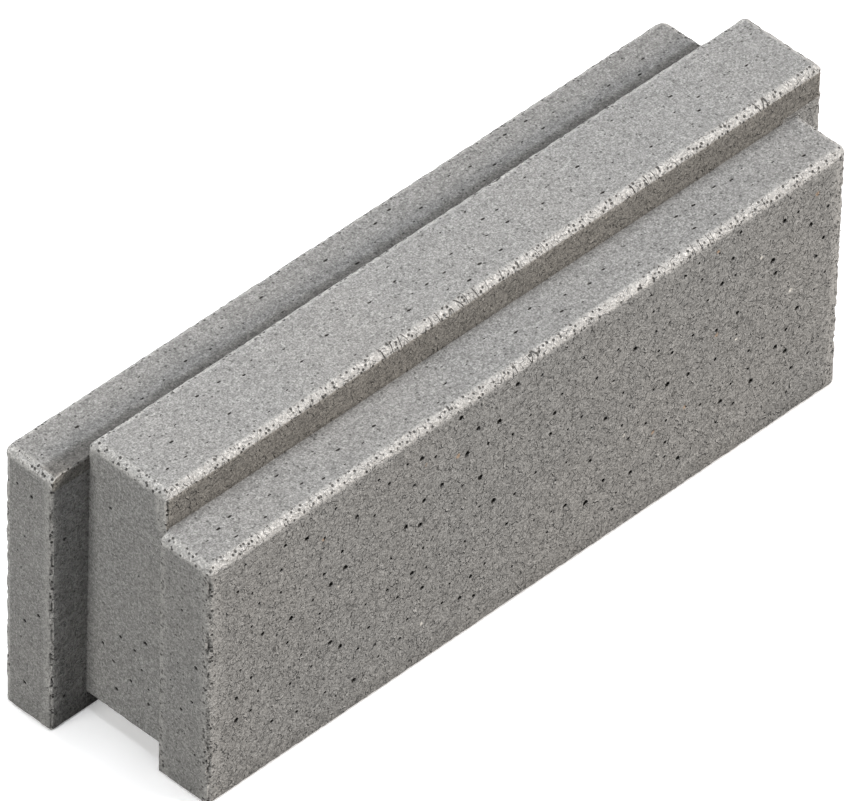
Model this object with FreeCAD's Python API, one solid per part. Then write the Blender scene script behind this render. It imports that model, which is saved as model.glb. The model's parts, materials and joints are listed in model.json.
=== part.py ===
"""Interlocking fly ash brick: one pressed block of three staggered wythes.

The block is read across its thickness as a front wythe, a core and a back wythe.
The core sits higher than the two outer wythes and is shifted towards +X. It so stands up as a
ridge on the top bed and out as a tongue at the +X end, and leaves a groove of the same section
under the block and a recess at the -X end. Each brick's ridge and tongue fill its neighbours'
groove and recess. Core and back wythe are laid dry. The front wythe is shorter and lower than
the back one by one pointing joint, which the ridge and the tongue close from behind.

Frame: X runs along the course, Y from the front face (-Y) to the back face (+Y), Z up.
The origin is the centre of the underside of the whole block's box. All sizes are millimetres.
"""

import FreeCAD, Part
import os

# Laying module: the distance from one brick to the next along the course and up the wall.
COURSE_PITCH = 300.0
COURSE_HEIGHT = 110.0

# Thickness of each wythe across the wall.
FRONT_THICKNESS = 23.0
CORE_THICKNESS = 36.0
BACK_THICKNESS = 23.0

# How far the core stands past the back wythe at the top bed and at the +X end.
RIDGE_HEIGHT = 7.0
TONGUE_LENGTH = 14.5

# Play between a ridge or tongue and the groove or recess that takes it.
BED_CLEARANCE = 0.5
END_CLEARANCE = 1.0
SIDE_CLEARANCE = 0.5

# Gap left for pointing mortar between the front faces, and where the front wythe starts.
POINTING_JOINT_END = 8.5
POINTING_JOINT_BED = 7.5
FRONT_SETBACK = 12.0

# Rounding of the pressed edges: upright corners, top arrises, and everything else.
CORNER_RADIUS = 3.2
TOP_ARRIS_RADIUS = 3.0
BED_ARRIS_RADIUS = 1.5

# How far the cutting boxes run past the block, and the step used to look round an edge.
OVERRUN = 5.0
PROBE = 0.2

# Levels that follow from the sizes above, measured from the corner of the back wythe's end.
GROOVE_DEPTH = RIDGE_HEIGHT + BED_CLEARANCE
RECESS_DEPTH = TONGUE_LENGTH + END_CLEARANCE
FRONT_LENGTH = COURSE_PITCH - POINTING_JOINT_END
FRONT_HEIGHT = COURSE_HEIGHT - POINTING_JOINT_BED
BLOCK_LENGTH = COURSE_PITCH + TONGUE_LENGTH
BLOCK_WIDTH = FRONT_THICKNESS + CORE_THICKNESS + BACK_THICKNESS
BLOCK_HEIGHT = COURSE_HEIGHT + RIDGE_HEIGHT
CORE_FRONT = FRONT_THICKNESS
CORE_BACK = FRONT_THICKNESS + CORE_THICKNESS


def box(x_low, x_high, y_low, y_high, z_low, z_high):
    """A box between two corners."""
    corner = FreeCAD.Vector(x_low, y_low, z_low)
    return Part.makeBox(x_high - x_low, y_high - y_low, z_high - z_low, corner)


def front_wythe():
    """The layer with the face that is seen in the wall."""
    return box(FRONT_SETBACK, FRONT_SETBACK + FRONT_LENGTH, 0.0, CORE_FRONT, 0.0, FRONT_HEIGHT)


def core():
    """The raised and shifted middle layer, with the ridge on top and the tongue at the end."""
    return box(RECESS_DEPTH, BLOCK_LENGTH, CORE_FRONT, CORE_BACK, GROOVE_DEPTH, BLOCK_HEIGHT)


def back_wythe():
    """The layer that sets the laying module."""
    return box(0.0, COURSE_PITCH, CORE_BACK, BLOCK_WIDTH, 0.0, COURSE_HEIGHT)


def bed_groove():
    """The room under the core that takes the ridge of the brick below."""
    return box(-OVERRUN, BLOCK_LENGTH + OVERRUN, CORE_FRONT - SIDE_CLEARANCE,
               CORE_BACK + SIDE_CLEARANCE, -OVERRUN, GROOVE_DEPTH)


def end_recess():
    """The room before the core that takes the tongue of the next brick."""
    return box(-OVERRUN, RECESS_DEPTH, CORE_FRONT - SIDE_CLEARANCE,
               CORE_BACK + SIDE_CLEARANCE, -OVERRUN, BLOCK_HEIGHT + OVERRUN)


def runs_along(edge, axis):
    """Whether a straight edge is parallel to an axis, given as 0, 1 or 2."""
    if not isinstance(edge.Curve, Part.Line):
        return False
    return abs(abs(edge.Curve.Direction[axis]) - 1.0) < 1e-6


def is_convex(shape, edge, axis):
    """Whether material fills just one of the four quarters round a straight edge."""
    middle = edge.CenterOfMass
    across = [FreeCAD.Vector(*(1.0 if i == k else 0.0 for i in range(3))) for k in range(3) if k != axis]
    quarters = [(a, b) for a in (-PROBE, PROBE) for b in (-PROBE, PROBE)]
    return sum(shape.isInside(middle + across[0] * a + across[1] * b, 1e-4, False) for a, b in quarters) == 1


def rounded(shape, radius, wanted):
    """The shape with every wanted edge rounded to a radius."""
    return shape.makeFillet(radius, [edge for edge in shape.Edges if wanted(shape, edge)])


def outer_corner(shape, edge):
    """Whether an edge is an upright corner of the front face, the back face or the core."""
    on_face = min(abs(edge.CenterOfMass.y), abs(edge.CenterOfMass.y - BLOCK_WIDTH)) < 1e-3
    on_tongue = abs(edge.CenterOfMass.x - BLOCK_LENGTH) < 1e-3
    return runs_along(edge, 2) and (on_face or on_tongue)


def top_arris(shape, edge):
    """Whether an edge borders one of the three top beds and has open air beside it."""
    level = edge.CenterOfMass.z
    on_top = min(abs(level - top) for top in (FRONT_HEIGHT, COURSE_HEIGHT, BLOCK_HEIGHT)) < 1e-3
    if not on_top or edge.BoundBox.ZLength > 1e-3:
        return False
    if runs_along(edge, 0):
        return edge.Length > RECESS_DEPTH and is_convex(shape, edge, 0)
    return not runs_along(edge, 1) or edge.Length > 2 * SIDE_CLEARANCE


def bed_arris(shape, edge):
    """Whether an edge borders one of the two faces the block stands on."""
    return edge.CenterOfMass.z < 1e-3


def brick():
    """The whole block, sharp-edged."""
    body = front_wythe().fuse([core(), back_wythe()]).removeSplitter()
    return body.cut(bed_groove().fuse(end_recess())).removeSplitter()


def main():
    """Round the block, move it over its origin and write it out."""
    os.makedirs("parts", exist_ok=True)
    shape = brick()
    shape = rounded(shape, CORNER_RADIUS, outer_corner)
    shape = rounded(shape, TOP_ARRIS_RADIUS, top_arris)
    shape = rounded(shape, BED_ARRIS_RADIUS, bed_arris)
    shape.translate(FreeCAD.Vector(-BLOCK_LENGTH / 2, -BLOCK_WIDTH / 2, 0.0))
    shape.exportStep("parts/interlocking_brick.step")


main()
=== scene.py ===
"""An interlocking fly ash brick standing on a pale studio floor.

The block is one pressed piece of three staggered wythes. Its outline is built from closed boxes, its edges
are rounded with bevels, its surface is cut into a fine grid, roughened and pitted, and one procedural
finish gives it the dull, sandy grey of pressed fly ash.
"""

import json
import logging
import math
import random
from dataclasses import dataclass, field
from enum import Enum
from typing import Callable, Dict, Iterable, List, Sequence, Set, Tuple, Union

import bmesh
import bpy
from bmesh.types import BMEdge, BMesh, BMFace, BMVert
from mathutils import Matrix, Vector, noise


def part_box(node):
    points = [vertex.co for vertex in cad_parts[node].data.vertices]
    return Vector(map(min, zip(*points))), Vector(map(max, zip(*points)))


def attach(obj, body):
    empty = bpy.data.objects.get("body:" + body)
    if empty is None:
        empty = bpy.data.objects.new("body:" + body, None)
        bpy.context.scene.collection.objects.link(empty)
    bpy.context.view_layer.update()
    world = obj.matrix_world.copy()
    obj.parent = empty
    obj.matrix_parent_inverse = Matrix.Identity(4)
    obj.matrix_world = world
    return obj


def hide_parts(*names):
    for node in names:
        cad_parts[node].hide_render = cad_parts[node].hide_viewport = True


LOG = logging.getLogger("interlocking_brick")
MM = 0.001
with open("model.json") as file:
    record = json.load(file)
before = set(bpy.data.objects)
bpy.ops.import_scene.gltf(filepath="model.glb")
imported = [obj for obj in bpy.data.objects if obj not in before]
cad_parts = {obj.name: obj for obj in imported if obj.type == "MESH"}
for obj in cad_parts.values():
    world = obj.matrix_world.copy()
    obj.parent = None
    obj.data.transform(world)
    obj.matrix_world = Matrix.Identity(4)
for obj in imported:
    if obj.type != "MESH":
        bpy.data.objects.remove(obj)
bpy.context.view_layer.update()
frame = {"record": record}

Socket = bpy.types.NodeSocket
Setting = Union[Socket, float, Sequence[float]]


class Axis(Enum):
    """The three directions of the row frame, by index."""

    X = 0
    Y = 1
    Z = 2

    @property
    def vector(self) -> Vector:
        """The unit vector along the axis.

        Returns:
            Vector: one in this direction and nought in the other two.
        """
        return Vector([1.0 if index == self.value else 0.0 for index in range(3)])


class Trace(Enum):
    """The values kept in the mesh for the finish to read: two on faces, the others at vertices."""

    PORE = "pore"
    WEAR = "wear"
    COARSE = "coarse"
    GRIME = "grime"
    CORNER = "corner"


def linear(hex_colour: str) -> Tuple[float, float, float, float]:
    """Turn an sRGB hex colour into the linear values that shaders use.

    Args:
        hex_colour (str): six hex digits, with or without a leading hash.

    Returns:
        Tuple[float, float, float, float]: linear red, green and blue, and an alpha of one.
    """
    digits = hex_colour.lstrip("#")
    parts = [int(digits[index:index + 2], 16) / 255.0 for index in (0, 2, 4)]
    bent = [part / 12.92 if part <= 0.04045 else ((part + 0.055) / 1.055) ** 2.4 for part in parts]
    return bent[0], bent[1], bent[2], 1.0


def per_metre(size_mm: float) -> float:
    """The texture scale that makes one feature about this long.

    Args:
        size_mm (float): the wanted feature size in millimetres.

    Returns:
        float: features per metre of Object coordinates.
    """
    return 1000.0 / size_mm


@dataclass
class Graph:
    """A material's node tree, built node by node."""

    tree: bpy.types.NodeTree

    def node(self, kind: str, inputs: Dict[Union[str, int], Setting], **settings: object) -> bpy.types.Node:
        """Add one node, set its options and fill or link its inputs.

        Args:
            kind (str): the node's Blender type.
            inputs (Dict[Union[str, int], Setting]): a value or a socket to link, by input name or index.
            **settings (object): options set on the node itself.

        Returns:
            bpy.types.Node: the new node.
        """
        made = self.tree.nodes.new(kind)
        for name, value in settings.items():
            setattr(made, name, value)
        for key, value in inputs.items():
            if isinstance(value, bpy.types.NodeSocket):
                self.tree.links.new(value, made.inputs[key])
            else:
                made.inputs[key].default_value = value
        return made

    def noise(self, coords: Socket, size_mm: float, detail: float, roughness: float = 0.5,
              distortion: float = 0.0) -> Socket:
        """Soft random variation with features of a real size.

        Args:
            coords (Socket): where the pattern is read.
            size_mm (float): the largest feature in millimetres.
            detail (float): how many finer octaves lie on top.
            roughness (float): how strong the finer octaves are.
            distortion (float): how far the pattern is swirled.

        Returns:
            Socket: values round one half.
        """
        return self.node("ShaderNodeTexNoise", {
            "Vector": coords, "Scale": per_metre(size_mm), "Detail": detail, "Roughness": roughness,
            "Distortion": distortion}).outputs[0]

    def math(self, operation: str, first: Setting, second: Setting = 0.0) -> Socket:
        """One sum on two values.

        Args:
            operation (str): the Blender name of the sum.
            first (Setting): the first value or socket.
            second (Setting): the second value or socket.

        Returns:
            Socket: the result.
        """
        return self.node("ShaderNodeMath", {0: first, 1: second}, operation=operation).outputs[0]

    def ramp(self, value: Setting, low: float, high: float, to_low: float = 0.0, to_high: float = 1.0) -> Socket:
        """Map a range of values onto another, held at its ends.

        Args:
            value (Setting): what is mapped.
            low (float): the value that becomes to_low.
            high (float): the value that becomes to_high.
            to_low (float): the result at low.
            to_high (float): the result at high.

        Returns:
            Socket: the mapped value.
        """
        return self.node("ShaderNodeMapRange", {
            "Value": value, "From Min": low, "From Max": high, "To Min": to_low, "To Max": to_high,
        }).outputs[0]

    def mix(self, amount: Setting, under: Setting, over: Setting, blend: str = "MIX") -> Socket:
        """Lay one colour over another.

        Args:
            amount (Setting): how much of the upper colour shows.
            under (Setting): the lower colour.
            over (Setting): the upper colour.
            blend (str): how the two combine.

        Returns:
            Socket: the mixed colour.
        """
        return self.node("ShaderNodeMix", {0: amount, 6: under, 7: over}, data_type="RGBA",
                         blend_type=blend).outputs[2]

    def grey(self, value: Setting) -> Socket:
        """A value as a grey colour.

        Args:
            value (Setting): the value for all three channels.

        Returns:
            Socket: the grey.
        """
        return self.node("ShaderNodeCombineColor", {0: value, 1: value, 2: value}).outputs[0]

    def ragged(self, coords: Socket, metres: float) -> Socket:
        """The same place read elsewhere and slightly swirled, so that patterns don't line up or look stamped.

        Args:
            coords (Socket): where the pattern was read.
            metres (float): how far to move along all three directions.

        Returns:
            Socket: the new coordinates.
        """
        swirl = self.node("ShaderNodeTexNoise", {"Vector": coords, "Scale": per_metre(1.2), "Detail": 1.0})
        small = self.node("ShaderNodeVectorMath", {0: swirl.outputs["Color"], 1: (0.0011,) * 3},
                          operation="MULTIPLY").outputs[0]
        far = self.node("ShaderNodeVectorMath", {0: coords, 1: (metres,) * 3}, operation="ADD").outputs[0]
        return self.node("ShaderNodeVectorMath", {0: far, 1: small}, operation="ADD").outputs[0]

    def veins(self, coords: Socket, size_mm: float, width: float) -> Socket:
        """Thin, short curled lines, like the worm tracks between grains of wet sand.

        Args:
            coords (Socket): where the pattern is read.
            size_mm (float): the size of the curls in millimetres.
            width (float): how wide the lines are.

        Returns:
            Socket: one on a line and nought between lines.
        """
        field = self.noise(coords, size_mm, 0.0, 0.5, 0.6)
        line = self.ramp(self.math("ABSOLUTE", self.math("SUBTRACT", field, 0.5)), width, 0.0)
        # broken up, so that the lines don't join into a net
        gaps = self.ramp(self.noise(self.ragged(coords, 0.19), 0.8 * size_mm, 0.0), 0.45, 0.55)
        return self.math("MULTIPLY", line, gaps)

    def ticks(self, coords: Socket) -> Socket:
        """Short tears straight across the top edges that run along X, in a few loose groups.

        Args:
            coords (Socket): where the pattern is read.

        Returns:
            Socket: one in a tear and nought elsewhere.
        """
        drawn_out = self.node("ShaderNodeVectorMath", {0: coords, 1: (1.0, 0.2, 0.2)}, operation="MULTIPLY")
        field = self.noise(drawn_out.outputs[0], 5.0, 0.0, 0.5, 0.3)
        line = self.ramp(self.math("ABSOLUTE", self.math("SUBTRACT", field, 0.5)), 0.016, 0.006)
        groups = self.ramp(self.noise(coords, 22.0, 0.0), 0.53, 0.58)
        facing = self.node("ShaderNodeTexCoord", {}).outputs["Normal"]
        facing = self.node("ShaderNodeSeparateXYZ", {0: facing}).outputs
        along = self.math("LESS_THAN", self.math("ABSOLUTE", facing[0]), 0.2)
        upward = self.math("GREATER_THAN", facing[2], 0.2)
        return self.math("MULTIPLY", self.math("MULTIPLY", line, groups), self.math("MULTIPLY", along, upward))

    def spots(self, coords: Socket, cell_mm: float, radius: float, share: float) -> Socket:
        """Round spots, each in a cell of its own, in only a share of the cells.

        Args:
            coords (Socket): where the pattern is read.
            cell_mm (float): the spacing of the cells in millimetres.
            radius (float): the spot's radius as a part of the cell.
            share (float): the part of the cells that hold a spot.

        Returns:
            Socket: one in a spot and nought outside.
        """
        cells = self.node("ShaderNodeTexVoronoi", {"Vector": coords, "Scale": per_metre(cell_mm)}, feature="F1")
        chosen = self.node("ShaderNodeSeparateColor", {0: cells.outputs["Color"]}).outputs[0]
        inside = self.ramp(cells.outputs["Distance"], radius, radius * 0.6)
        return self.math("MULTIPLY", inside, self.math("LESS_THAN", chosen, share))


@dataclass(frozen=True)
class FlyAshFinish:
    """Pressed fly ash: dull grey paste with fine sand, pits, pale crumbs on the edges and a few inclusions."""

    paste: str = "8F8F8D"
    warm: str = "92908D"
    cool: str = "8C8C8B"
    # dark colour of real cinders, and painted shade for pits, notches, pinholes and torn dots
    soot_and_shade: str = "3A3936"
    # painted shade for the ridge's sides, slightly warm
    grime: str = "D3CFC9"
    # painted shade for the corners beside the ridge and for the back bed
    bed_shade: str = "A09D99"
    # pale colour of worn crumbs, and painted highlight on the rounded edges
    crumb_and_highlight: str = "D6D4D0"
    lime: str = "D9D6CF"
    clay: str = "A8937F"
    grain_mm: float = 0.6
    clump_mm: float = 1.3
    mottle_mm: float = 7.0
    drift_mm: float = 70.0
    relief_mm: float = 0.6
    contrast: float = 1.05
    coarse_contrast: float = 1.0

    def colour(self, graph: Graph, coords: Socket, grain: Socket, clump: Socket, worm_light_and_shade: Socket,
               coarse: Socket) -> Socket:
        """The colour of the paste with everything pressed into it.

        Args:
            graph (Graph): the material's nodes.
            coords (Socket): Object coordinates.
            grain (Socket): the finest sand.
            clump (Socket): the clumps of sand.
            worm_light_and_shade (Socket): painted highlights and shadows of the curled relief between the grains,
                where they show.
            coarse (Socket): one on the coarse faces and nought elsewhere.

        Returns:
            Socket: the finished colour.
        """
        # slow warm and cool drifts, so no face is one even grey
        drift = graph.ramp(graph.noise(coords, self.drift_mm, 2.0), 0.35, 0.65)
        base = graph.mix(graph.ramp(drift, 0.0, 1.0, 0.15, 0.85), linear(self.cool), linear(self.warm))
        base = graph.mix(0.5, base, linear(self.paste))
        # cloudy patches left by uneven mixing
        mottle = graph.ramp(graph.noise(coords, self.mottle_mm, 4.0, 0.6), 0.3, 0.7, 0.94, 1.06)
        base = graph.mix(1.0, base, graph.grey(mottle), "MULTIPLY")
        # light and dark sand, which gives the salt and pepper look from close by
        sand = graph.ramp(grain, 0.30, 0.70, 0.60, 1.40)
        # single grains with crisp outlines, each a little lighter or darker than the paste
        grains = graph.node("ShaderNodeTexVoronoi", {"Vector": coords, "Scale": per_metre(0.8)}, feature="F1")
        single = graph.node("ShaderNodeSeparateColor", {0: grains.outputs["Color"]}).outputs[0]
        sand = graph.math("MULTIPLY", sand, graph.ramp(single, 0.0, 1.0, 0.80, 1.20))
        clods = graph.ramp(clump, 0.35, 0.65, 0.86, 1.14)
        # both stand out more on the coarse faces
        off = graph.math("SUBTRACT", graph.math("MULTIPLY", sand, clods), 1.0)
        off = graph.math("ADD", off, worm_light_and_shade)
        strength = graph.ramp(coarse, 0.0, 1.0, self.contrast, self.coarse_contrast)
        tone = graph.math("MAXIMUM", graph.math("ADD", graph.math("MULTIPLY", off, strength), 1.0), 0.15)
        base = graph.mix(1.0, base, graph.grey(tone), "MULTIPLY")
        # fine cinders, and pinholes too small to be cut into the surface, whose shade is painted
        base = graph.mix(graph.math("MULTIPLY", graph.spots(coords, 1.6, 0.34, 0.18), 0.65), base, linear(self.soot_and_shade))
        # specks of unburnt lime and of clay, a few to each coarse face
        lime = graph.math("MULTIPLY", graph.spots(graph.ragged(coords, 0.31), 13.0, 0.075, 0.25), coarse)
        clay = graph.math("MULTIPLY", graph.spots(graph.ragged(coords, 0.77), 15.0, 0.075, 0.20), coarse)
        return graph.mix(clay, graph.mix(lime, base, linear(self.lime)), linear(self.clay))

    def build(self, name: str) -> bpy.types.Material:
        """Make the material.

        Args:
            name (str): the material's name.

        Returns:
            bpy.types.Material: the finish, ready to assign.
        """
        material = bpy.data.materials.new(name)
        material.use_nodes = True
        graph = Graph(material.node_tree)
        shader = material.node_tree.nodes["Principled BSDF"]
        coords = graph.node("ShaderNodeTexCoord", {}).outputs["Object"]
        grain = graph.noise(coords, self.grain_mm, 2.0, 0.65)
        clump = graph.noise(coords, self.clump_mm, 2.0, 0.6, 0.8)
        pore = graph.node("ShaderNodeAttribute", {}, attribute_name=Trace.PORE.value).outputs["Fac"]
        wear = graph.node("ShaderNodeAttribute", {}, attribute_name=Trace.WEAR.value).outputs["Fac"]
        # the front and back faces came off the mould plates coarser than the beds and the ends
        coarse = graph.node("ShaderNodeAttribute", {}, attribute_name=Trace.COARSE.value).outputs["Fac"]
        # light lines are painted highlights of the curled relief, dark lines its painted shadows
        light = graph.veins(coords, 2.6, 0.045)
        dark = graph.veins(graph.ragged(coords, 0.53), 2.2, 0.03)
        worm_light_and_shade = graph.math("SUBTRACT", graph.math("MULTIPLY", light, 0.85), graph.math("MULTIPLY", dark, 0.50))
        # the worm tracks show where the face is coarse, and most of all where an edge is torn; their highlights and
        # shadows are painted into the colour, and the light lines are raised in the bump as well
        torn_open = graph.math("MAXIMUM", coarse, graph.math("MULTIPLY", wear, 1.3))
        colour = self.colour(graph, coords, grain, clump, graph.math("MULTIPLY", worm_light_and_shade, torn_open), coarse)
        # pale crumbs where the edges are worn, and a painted highlight along the rounded edges, broken up into crumbs
        crumbs = graph.ramp(graph.noise(coords, 1.0, 2.0, 0.75), 0.42, 0.60)
        rubbed_and_highlight = graph.math("MULTIPLY", graph.ramp(wear, 0.0, 0.9), graph.ramp(crumbs, 0.0, 1.0, 0.35, 0.90))
        colour = graph.mix(rubbed_and_highlight, colour, linear(self.crumb_and_highlight))
        # grit torn out of the same edges leaves a row of small hollows and short tears, their shade painted as dark
        # dots and lines
        torn = graph.math("MULTIPLY", graph.ramp(wear, 0.05, 0.5), graph.spots(coords, 1.4, 0.42, 0.46))
        torn = graph.math("MAXIMUM", torn, graph.math("MULTIPLY", graph.ramp(wear, 0.2, 0.6), graph.ticks(coords)))
        colour = graph.mix(graph.math("MULTIPLY", torn, 0.85), colour, linear(self.soot_and_shade))
        # painted shade, with a slight warm tint, darkens the sides of the ridge
        grime = graph.node("ShaderNodeAttribute", {}, attribute_name=Trace.GRIME.value).outputs["Fac"]
        colour = graph.mix(graph.math("MULTIPLY", grime, 0.9), colour, linear(self.grime), "MULTIPLY")
        # painted shade darkens the beds in the corners beside it, and thinly the whole back bed
        bed_shade = graph.node("ShaderNodeAttribute", {}, attribute_name=Trace.CORNER.value).outputs["Fac"]
        colour = graph.mix(graph.math("MULTIPLY", bed_shade, 0.85), colour, linear(self.bed_shade), "MULTIPLY")
        # painted shade darkens the pits and the notches of the upright edges
        colour = graph.mix(graph.ramp(pore, 0.1, 0.5, 0.0, 0.92), colour, linear(self.soot_and_shade))
        height = graph.math("ADD", graph.math("MULTIPLY", grain, 0.5), graph.math("MULTIPLY", clump, 0.6))
        height = graph.math("ADD", height, graph.math("MULTIPLY", graph.math("MULTIPLY", light, 1.6), torn_open))
        height = graph.math("MULTIPLY", height, graph.ramp(coarse, 0.0, 1.0, 0.55, 1.5))
        height = graph.math("ADD", height, graph.math("MULTIPLY", graph.math("MULTIPLY", wear, crumbs), 0.5))
        height = graph.math("SUBTRACT", height, torn)
        bump = graph.node("ShaderNodeBump", {
            "Strength": 1.0, "Distance": self.relief_mm * MM, "Height": height})
        graph.tree.links.new(colour, shader.inputs["Base Color"])
        graph.tree.links.new(bump.outputs["Normal"], shader.inputs["Normal"])
        shader.inputs["Roughness"].default_value = 0.92
        shader.inputs["Specular IOR Level"].default_value = 0.25
        return material


@dataclass(frozen=True)
class StudioFinish:
    """A plain pale sheet under the block, seen by the eye as part of a white background."""

    colour: str = "FAFAFA"
    bounce: str = "8C8C8C"
    lift: float = 0.30

    def build(self, name: str) -> bpy.types.Material:
        """Make the material.

        Args:
            name (str): the material's name.

        Returns:
            bpy.types.Material: the finish, ready to assign.
        """
        material = bpy.data.materials.new(name)
        material.use_nodes = True
        graph = Graph(material.node_tree)
        shader = material.node_tree.nodes["Principled BSDF"]
        # white to the eye, but it throws only a little light back up at the block
        seen = graph.node("ShaderNodeLightPath", {}).outputs["Is Camera Ray"]
        colour = graph.mix(seen, linear(self.bounce), linear(self.colour))
        graph.tree.links.new(colour, shader.inputs["Base Color"])
        shader.inputs["Emission Color"].default_value = linear("FFFFFF")
        graph.tree.links.new(graph.ramp(seen, 0.0, 1.0, 0.0, self.lift), shader.inputs["Emission Strength"])
        shader.inputs["Roughness"].default_value = 0.9
        return material


@dataclass(frozen=True)
class Wythe:
    """One layer of the block as a closed box, in metres."""

    low: Vector
    high: Vector

    def add_to(self, mesh: BMesh) -> None:
        """Add the layer's box to a mesh.

        Args:
            mesh (BMesh): the mesh that takes the box.
        """
        middle, size = (self.low + self.high) / 2, self.high - self.low
        bmesh.ops.create_cube(mesh, size=1.0, matrix=Matrix.Translation(middle) @ Matrix.Diagonal((*size, 1.0)))


@dataclass(frozen=True)
class Rounding:
    """The radii of the pressed edges and the fineness of their bevels, in millimetres."""

    corner_mm: float = 4.0
    crisp_mm: float = 1.8
    top_mm: float = 3.4
    lip_mm: float = 1.2
    segments: int = 5


@dataclass(frozen=True)
class Pitting:
    """One size of pit: how many there are on each square centimetre, and how wide and deep they go."""

    per_cm2: float
    radius_mm: Tuple[float, float]
    depth_mm: float
    on_beds: bool = True


@dataclass
class Levels:
    """The planes that bound the wythes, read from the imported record's mounts, in metres."""

    record: dict
    x: Dict[str, float] = field(init=False)
    y: Dict[str, float] = field(init=False)
    z: Dict[str, float] = field(init=False)

    def __post_init__(self) -> None:
        """Sort the mounts' positions into the three directions."""
        places = {mount["name"]: mount["pos_m"] for mount in self.record["mounts"]}
        along = ("back_left_end", "front_left_end", "recess_end", "back_right_end", "front_right_end", "tongue_end")
        self.x = {name: places[name][0] for name in along}
        self.y = {name: places[name][1] for name in ("front_face", "ridge_front_side", "ridge_back_side", "back_face")}
        self.z = {name: places[name][2] for name in ("front_bed", "groove_roof", "front_top", "back_top", "ridge_top")}

    def wythes(self) -> List[Wythe]:
        """The three layers of the block.

        Returns:
            List[Wythe]: the front wythe, the core and the back wythe.
        """
        x, y, z = self.x, self.y, self.z
        return [
            Wythe(Vector((x["front_left_end"], y["front_face"], z["front_bed"])),
                  Vector((x["front_right_end"], y["ridge_front_side"], z["front_top"]))),
            Wythe(Vector((x["recess_end"], y["ridge_front_side"], z["groove_roof"])),
                  Vector((x["tongue_end"], y["ridge_back_side"], z["ridge_top"]))),
            Wythe(Vector((x["back_left_end"], y["ridge_back_side"], z["front_bed"])),
                  Vector((x["back_right_end"], y["back_face"], z["back_top"]))),
        ]

    def planes(self, axis: Axis) -> List[float]:
        """The bounding planes across one direction, in order.

        Args:
            axis (Axis): the direction.

        Returns:
            List[float]: their places along it.
        """
        return sorted(set([self.x, self.y, self.z][axis.value].values()))


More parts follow.
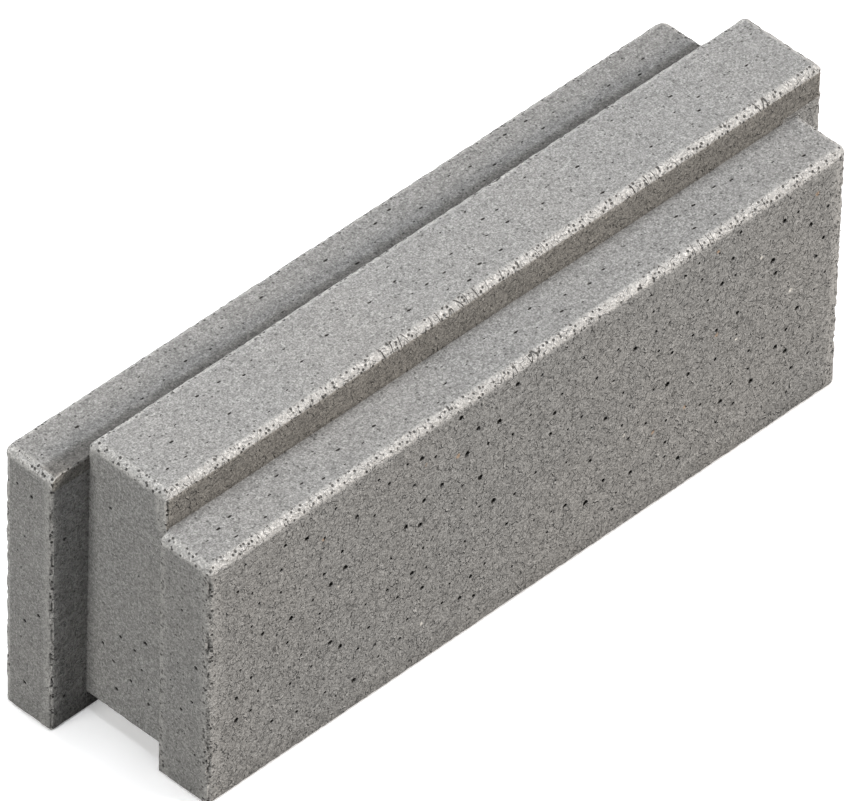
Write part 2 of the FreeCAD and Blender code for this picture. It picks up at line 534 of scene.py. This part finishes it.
@dataclass
class BrickBody:
    """The pressed block: three wythes in one skin, with rounded edges, a rough surface and pits."""

    levels: Levels
    rounding: Rounding = Rounding()
    pitch_mm: float = 1.6
    ripple_mm: float = 0.10
    crumble_mm: float = 0.35
    notch_mm: float = 0.9
    end_share: float = 0.45
    # width of the painted shade beside the ridge on the back bed
    bed_shade_mm: float = 8.0
    pits: Tuple[Pitting, ...] = (
        Pitting(0.10, (0.90, 1.20), 1.3, False),
        Pitting(0.16, (0.62, 0.85), 1.1, False),
        Pitting(0.28, (0.48, 0.66), 0.9),
        Pitting(0.50, (0.28, 0.38), 0.7),
    )
    seed: int = 7

    def outline(self) -> BMesh:
        """Join the three wythes into one closed skin with no faces inside.

        Returns:
            BMesh: the sharp-edged block.
        """
        mesh = bmesh.new()
        for wythe in self.levels.wythes():
            wythe.add_to(mesh)
        for axis in Axis:
            for level in self.levels.planes(axis):
                self.cut(mesh, axis, level)
        centres: Dict[Tuple[float, ...], List[BMFace]] = {}
        for face in mesh.faces:
            centres.setdefault(tuple(round(value, 6) for value in face.calc_center_median()), []).append(face)
        inner = [face for faces in centres.values() if len(faces) > 1 for face in faces]
        bmesh.ops.delete(mesh, geom=inner, context="FACES")
        bmesh.ops.remove_doubles(mesh, verts=mesh.verts, dist=0.01 * MM)
        bmesh.ops.recalc_face_normals(mesh, faces=mesh.faces)
        bmesh.ops.dissolve_limit(mesh, angle_limit=math.radians(1.0), verts=mesh.verts, edges=mesh.edges)
        return mesh

    @staticmethod
    def cut(mesh: BMesh, axis: Axis, level: float) -> None:
        """Cut every face across one plane.

        Args:
            mesh (BMesh): the mesh to cut.
            axis (Axis): the plane's normal.
            level (float): where the plane lies along the axis, in metres.
        """
        bmesh.ops.bisect_plane(mesh, geom=list(mesh.verts) + list(mesh.edges) + list(mesh.faces),
                               dist=0.001 * MM, plane_co=axis.vector * level, plane_no=axis.vector)

    @staticmethod
    def bevel(mesh: BMesh, radius_mm: float, segments: int, wanted: Callable[[BMEdge], bool]) -> None:
        """Round the convex edges that a test picks out.

        Args:
            mesh (BMesh): the mesh to round.
            radius_mm (float): the rounding's radius in millimetres.
            segments (int): the steps across the rounding.
            wanted (Callable[[BMEdge], bool]): the test of an edge.
        """
        edges = [edge for edge in mesh.edges
                 if edge.is_manifold and edge.calc_face_angle_signed() > math.radians(50.0) and wanted(edge)]
        bmesh.ops.bevel(mesh, geom=edges, offset=radius_mm * MM, offset_type="OFFSET", affect="EDGES",
                        segments=segments, profile=0.5, clamp_overlap=True, material=-1)

    def round_edges(self, mesh: BMesh) -> None:
        """Round the corners first, then the top edges, then every lip that is left.

        Args:
            mesh (BMesh): the sharp-edged block.
        """
        x, y, z = self.levels.x, self.levels.y, self.levels.z
        crisp_lines = [(x["front_left_end"], y["front_face"]), (x["tongue_end"], y["ridge_front_side"]),
                       (x["tongue_end"], y["ridge_back_side"])]
        faces = (y["front_face"], y["back_face"])
        tops = (z["front_top"], z["back_top"], z["ridge_top"])

        def corner(edge: BMEdge) -> bool:
            first, last = edge.verts[0].co, edge.verts[1].co
            upright = abs(first.z - last.z) > 0.9 * edge.calc_length()
            outside = min(abs(first.y - face) for face in faces) < 0.01 * MM
            crisp = math.hypot(first.x - x["front_left_end"], first.y - y["front_face"]) < MM
            return upright and outside and not crisp

        def top(edge: BMEdge) -> bool:
            first, last = edge.verts[0].co, edge.verts[1].co
            inner = min(abs(first.y - side) for side in (y["ridge_front_side"], y["ridge_back_side"])) < 0.01 * MM
            if inner and first.z < z["ridge_top"] - MM and abs(first.y - last.y) < 0.01 * MM:
                return False
            return any(all(abs(vert.co.z - level) < 0.01 * MM for vert in edge.verts) for level in tops)

        def crisp(edge: BMEdge) -> bool:
            return any(all(math.hypot(vert.co.x - line[0], vert.co.y - line[1]) < 1.5 * MM for vert in edge.verts)
                       for line in crisp_lines)

        self.bevel(mesh, self.rounding.corner_mm, self.rounding.segments, corner)
        self.bevel(mesh, self.rounding.top_mm, self.rounding.segments, top)
        self.bevel(mesh, self.rounding.crisp_mm, 4, crisp)
        self.bevel(mesh, self.rounding.lip_mm, 3, lambda edge: True)

    def refine(self, mesh: BMesh) -> None:
        """Cut the flat faces into a fine grid, clear of the roundings.

        Args:
            mesh (BMesh): the rounded block.
        """
        margin = (self.rounding.corner_mm + 0.3) * MM
        pitch = self.pitch_mm * MM
        for axis in Axis:
            planes = self.levels.planes(axis)
            before = 1.6 * MM if axis is Axis.Z else margin
            for low, high in zip(planes, planes[1:]):
                start, stop = low + before, high - margin
                if stop < start + pitch:
                    continue
                self.cut(mesh, axis, start)
                self.cut(mesh, axis, stop)
                spans = [edge for edge in mesh.edges if self.spans(edge, axis, start, stop)]
                bmesh.ops.subdivide_edges(mesh, edges=spans, cuts=round((stop - start) / pitch) - 1,
                                          use_grid_fill=True)

    @staticmethod
    def spans(edge: BMEdge, axis: Axis, start: float, stop: float) -> bool:
        """Whether an edge runs straight from one plane to another.

        Args:
            edge (BMEdge): the edge.
            axis (Axis): the planes' normal.
            start (float): the first plane's place along the axis, in metres.
            stop (float): the second plane's place along the axis, in metres.

        Returns:
            bool: true if its two ends lie on the two planes.
        """
        ends = sorted(vert.co[axis.value] for vert in edge.verts)
        return abs(ends[0] - start) < 0.005 * MM and abs(ends[1] - stop) < 0.005 * MM

    @staticmethod
    def is_flat(vert: BMVert) -> bool:
        """Whether a vertex lies in the open field of a flat face.

        Args:
            vert (BMVert): the vertex.

        Returns:
            bool: true if four coplanar quads meet there.
        """
        faces = vert.link_faces
        return len(faces) == 4 and all(
            len(face.verts) == 4 and face.normal.dot(faces[0].normal) > 0.99999 for face in faces)

    def sink_pits(self, mesh: BMesh) -> None:
        """Sink round pits into the flat faces, each in the four quads round one vertex.

        Args:
            mesh (BMesh): the refined block, still flat-faced.
        """
        chance = random.Random(self.seed)
        mesh.normal_update()
        pore = mesh.verts.layers.float[Trace.PORE.value]
        open_field = [vert for vert in mesh.verts if self.is_flat(vert)]
        flat = set(open_field)
        chance.shuffle(open_field)
        area_cm2 = len(open_field) * (self.pitch_mm / 10.0) ** 2
        taken: Set[BMVert] = set()
        place = iter(open_field)
        for pitting in self.pits:
            regions: List[Tuple[BMVert, List[BMFace], Vector, float]] = []
            wanted = round(pitting.per_cm2 * area_cm2)
            for vert in place:
                if len(regions) >= wanted:
                    break
                ring = {other for face in vert.link_faces for other in face.verts} - {vert}
                level = abs(vert.normal.z) > 0.9
                if (ring | {vert}) & taken or not ring <= flat or (level and not pitting.on_beds):
                    continue
                if abs(vert.normal.x) > 0.9 and chance.random() > self.end_share:
                    continue
                taken |= ring | {vert}
                taken |= {other for near in ring for edge in near.link_edges for other in edge.verts}
                radius = chance.uniform(*pitting.radius_mm) * MM
                normal = vert.link_faces[0].normal.copy()
                for near in ring:
                    away = (near.co - vert.co).normalized() * radius * chance.uniform(0.85, 1.15)
                    if level:
                        away = Vector((away.x * 1.6, away.y * 0.75, away.z))
                    near.co = vert.co + away
                regions.append((vert, list(vert.link_faces), normal, radius))
            bmesh.ops.inset_region(mesh, faces=[face for _, faces, _, _ in regions for face in faces],
                                   thickness=0.2 * pitting.radius_mm[0] * MM, use_even_offset=True)
            for vert, faces, normal, radius in regions:
                depth = pitting.depth_mm * MM * chance.uniform(0.6, 1.0)
                for inner in {corner for face in faces for corner in face.verts}:
                    # painted shade in the pit
                    inner[pore] = 1.0
                    inner.co -= normal * depth
                vert.co -= normal * radius * 0.4

    def mark_faces(self, mesh: BMesh) -> None:
        """Mark the coarse moulded faces, and the ridge's sides, which take a painted shade.

        Args:
            mesh (BMesh): the refined block, still flat-faced.
        """
        coarse = mesh.faces.layers.float.new(Trace.COARSE.value)
        grime = mesh.faces.layers.float.new(Trace.GRIME.value)
        mesh.normal_update()
        for face in mesh.faces:
            face[coarse] = 1.0 if abs(face.normal.y) > 0.75 else 0.0
            height = face.calc_center_median().z
            # painted shade on the upright faces of the ridge above the front bed
            face[grime] = 1.0 if abs(face.normal.y) > 0.95 and height > self.levels.z["front_top"] else 0.0

    def weather(self, mesh: BMesh) -> None:
        """Roughen the surface, always inwards, and mark the worn edges.

        Args:
            mesh (BMesh): the pitted block.
        """
        mesh.normal_update()
        chance = random.Random(self.seed + 1)
        wear = mesh.verts.layers.float[Trace.WEAR.value]
        pore = mesh.verts.layers.float[Trace.PORE.value]
        corner = mesh.verts.layers.float[Trace.CORNER.value]
        creases = {vert for edge in mesh.edges if edge.is_manifold
                   and edge.calc_face_angle_signed() < math.radians(-40.0) for vert in edge.verts}
        pitted = {vert for vert in mesh.verts if vert[pore] > 0.5}
        pitted |= {other for vert in pitted for edge in vert.link_edges for other in edge.verts}
        moves: List[Tuple[BMVert, Vector]] = []
        for vert in mesh.verts:
            depth = self.ripple_mm * (0.5 + 0.5 * noise.noise(vert.co * per_metre(9.0)))
            sizes = [abs(value) for value in vert.normal]
            steepest = max(sizes)
            away = vert.normal
            if vert in creases or vert in pitted or steepest >= 0.985:
                main = sizes.index(steepest)
                away = Vector([math.copysign(1.0, value) if index == main else 0.0
                               for index, value in enumerate(vert.normal)])
            else:
                turned = min(1.0, (0.985 - steepest) / 0.045)
                # edges turned upwards take the stronger wear marks and the stronger painted highlight
                vert[wear] = turned * (1.0 if vert.normal.z > 0.25 else 0.5)
                lump = max(0.0, noise.noise(vert.co * per_metre(2.4)) + 0.6 * noise.noise(vert.co * per_metre(1.3)))
                depth += self.crumble_mm * turned * (lump + 0.5 * chance.random() ** 3)
                if abs(vert.normal.z) < 0.25:
                    # the upright edges tear where the mould is drawn off, and leave notches and crumbs
                    torn = chance.random() ** 2
                    depth += self.notch_mm * turned * torn
                    # painted shade in the notch
                    vert[pore] = 0.5 * torn * turned
                    vert[wear] = turned * (0.5 + 0.5 * chance.random())
            # painted shade beside the ridge and on the back bed
            vert[corner] = self.bed_shade_at(vert)
            moves.append((vert, away * depth * MM))
        self.spread_wear(mesh, pitted)
        for vert, move in moves:
            vert.co -= move

    @staticmethod
    def spread_wear(mesh: BMesh, pitted: Set[BMVert]) -> None:
        """Carry the wear of the upright edges on to the flat faces beside them, one vertex wide.

        Args:
            mesh (BMesh): the block, with its wear marked on the edges.
            pitted (Set[BMVert]): vertices in and round the pits, which are left alone.
        """
        wear = mesh.verts.layers.float[Trace.WEAR.value]
        upright = {vert for vert in mesh.verts if vert[wear] > 0.0 and abs(vert.normal.z) < 0.25}
        beside = {other for vert in upright for edge in vert.link_edges for other in edge.verts
                  if other not in pitted and other[wear] == 0.0 and abs(other.normal.z) < 0.25}
        for vert in beside:
            vert[wear] = 0.45

    def bed_shade_at(self, vert: BMVert) -> float:
        """How much painted shade lies at a vertex of the two lower beds, where they meet the sides of the ridge.

        Args:
            vert (BMVert): the vertex.

        Returns:
            float: one in the corner, falling away from it to a thin film of painted shade on the back bed.
        """
        y, z = self.levels.y, self.levels.z
        if vert.normal.z < 0.5:
            return 0.0
        if abs(vert.co.z - z["back_top"]) < 0.5 * MM and vert.co.y > y["ridge_back_side"] - 0.1 * MM:
            return min(1.0, max(0.25, (self.bed_shade_mm - (vert.co.y - y["ridge_back_side"]) / MM) / 2.5))
        if abs(vert.co.z - z["front_top"]) < 0.5 * MM and vert.co.y > y["ridge_front_side"] - 0.1 * MM:
            return 0.5
        return 0.0

    def build(self, name: str, finish: bpy.types.Material) -> bpy.types.Object:
        """Make the block and tie it to the frame.

        Args:
            name (str): the object's name.
            finish (bpy.types.Material): what it is made of.

        Returns:
            bpy.types.Object: the block.
        """
        mesh = self.outline()
        self.round_edges(mesh)
        self.refine(mesh)
        for trace in (Trace.PORE, Trace.WEAR, Trace.CORNER):
            mesh.verts.layers.float.new(trace.value)
        self.mark_faces(mesh)
        self.sink_pits(mesh)
        self.weather(mesh)
        mesh.normal_update()
        for face in mesh.faces:
            face.smooth = True
        for edge in mesh.edges:
            edge.smooth = not (edge.is_manifold and abs(edge.calc_face_angle_signed()) > math.radians(38.0))
        data = bpy.data.meshes.new(name)
        mesh.to_mesh(data)
        mesh.free()
        data.materials.append(finish)
        block = bpy.data.objects.new(name, data)
        bpy.context.scene.collection.objects.link(block)
        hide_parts("interlocking_brick")
        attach(block, "root")
        return block


@dataclass(frozen=True)
class SoftLight:
    """One soft lamp, aimed at the block's middle."""

    name: str
    azimuth: float
    elevation: float
    distance: float
    size: float
    power: float
    colour: str = "FFFFFF"

    def build(self, aim: Vector) -> bpy.types.Object:
        """Hang the lamp.

        Args:
            aim (Vector): the point the lamp faces.

        Returns:
            bpy.types.Object: the lamp.
        """
        data = bpy.data.lights.new(self.name, "AREA")
        data.shape = "DISK"
        data.size = self.size
        data.energy = self.power
        data.color = linear(self.colour)[:3]
        lamp = bpy.data.objects.new(self.name, data)
        bpy.context.scene.collection.objects.link(lamp)
        turn, rise = math.radians(self.azimuth), math.radians(self.elevation)
        back = Vector((math.sin(turn) * math.cos(rise), -math.cos(turn) * math.cos(rise), math.sin(rise)))
        lamp.location = aim + back * self.distance
        lamp.rotation_euler = back.to_track_quat("Z", "Y").to_euler()
        return lamp


@dataclass(frozen=True)
class Studio:
    """A pale floor, a white surround and soft lamps."""

    floor_size: float = 8.0
    ambient: float = 0.07
    lamps: Tuple[SoftLight, ...] = (
        SoftLight("front_lamp", 34.0, 23.0, 4.0, 0.72, 163.0, "FFF9F3"),
        SoftLight("top_lamp", 0.0, 85.0, 1.6, 0.9, 19.4, "F8FAFF"),
        SoftLight("left_lamp", -95.0, 25.0, 1.6, 0.8, 13.0, "FFFEFB"),
        SoftLight("back_lamp", 180.0, 15.0, 1.8, 0.6, 21.0, "FFFFFF"),
    )

    def build(self, low: Vector, middle: Vector) -> None:
        """Set up the floor, the surround and the lamps.

        Args:
            low (Vector): the block's lowest corner.
            middle (Vector): the block's middle.
        """
        mesh = bmesh.new()
        bmesh.ops.create_grid(mesh, x_segments=1, y_segments=1, size=self.floor_size / 2,
                              matrix=Matrix.Translation((0.0, 0.0, low.z)))
        data = bpy.data.meshes.new("floor")
        mesh.to_mesh(data)
        mesh.free()
        data.materials.append(StudioFinish().build("studio_sheet"))
        floor = bpy.data.objects.new("floor", data)
        bpy.context.scene.collection.objects.link(floor)
        for lamp in self.lamps:
            lamp.build(middle)
        self.surround()

    def surround(self) -> None:
        """Light the scene from all sides, and show plain white where the eye sees past the floor."""
        world = bpy.data.worlds.new("surround")
        bpy.context.scene.world = world
        world.use_nodes = True
        world.node_tree.nodes.clear()
        graph = Graph(world.node_tree)
        seen = graph.node("ShaderNodeLightPath", {}).outputs["Is Camera Ray"]
        strength = graph.ramp(seen, 0.0, 1.0, self.ambient, 1.0)
        glow = graph.node("ShaderNodeBackground", {"Color": linear("FFFFFF"), "Strength": strength})
        graph.node("ShaderNodeOutputWorld", {"Surface": glow.outputs[0]})


@dataclass(frozen=True)
class LongLens:
    """A camera far off with a long lens, looking down at the recess end and the front face."""

    azimuth: float = -46.17
    elevation: float = 42.30
    roll: float = 1.53
    distance: float = 4.311
    lens: float = 561.0
    aim_right: float = -0.00402
    aim_up: float = 0.00087

    def build(self, middle: Vector) -> bpy.types.Object:
        """Place the camera and make it the scene's own.

        Args:
            middle (Vector): the point the aim is measured from.

        Returns:
            bpy.types.Object: the camera.
        """
        data = bpy.data.cameras.new("long_lens")
        data.lens = self.lens
        data.sensor_width = 36.0
        data.clip_end = 50.0
        camera = bpy.data.objects.new("long_lens", data)
        bpy.context.scene.collection.objects.link(camera)
        turn, rise, tilt = (math.radians(angle) for angle in (self.azimuth, self.elevation, self.roll))
        back = Vector((math.sin(turn) * math.cos(rise), -math.cos(turn) * math.cos(rise), math.sin(rise)))
        right = Vector((math.cos(turn), math.sin(turn), 0.0))
        above = back.cross(right)
        aim = middle + right * self.aim_right + above * self.aim_up
        across = right * math.cos(tilt) + above * math.sin(tilt)
        upward = above * math.cos(tilt) - right * math.sin(tilt)
        camera.matrix_world = Matrix.Translation(aim + back * self.distance) @ Matrix(
            (across, upward, back)).transposed().to_4x4()
        bpy.context.scene.camera = camera
        return camera


def main() -> None:
    """Build the block, the studio and the camera in order."""
    logging.basicConfig(level=logging.INFO, format="%(name)s: %(message)s")
    bpy.context.scene.view_settings.view_transform = "Standard"
    low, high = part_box("interlocking_brick")
    levels = Levels(frame["record"])
    LOG.info("frame box %s to %s", tuple(low), tuple(high))
    block = BrickBody(levels).build("brick_body", FlyAshFinish().build("pressed_fly_ash"))
    LOG.info("brick_body has %d faces", len(block.data.polygons))
    Studio().build(low, (low + high) / 2)
    LOG.info("studio set")
    LongLens().build(Vector((0.0, 0.0, levels.z["back_top"] / 2)))
    LOG.info("camera set")
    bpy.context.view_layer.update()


if __name__ == "__main__":
    main()
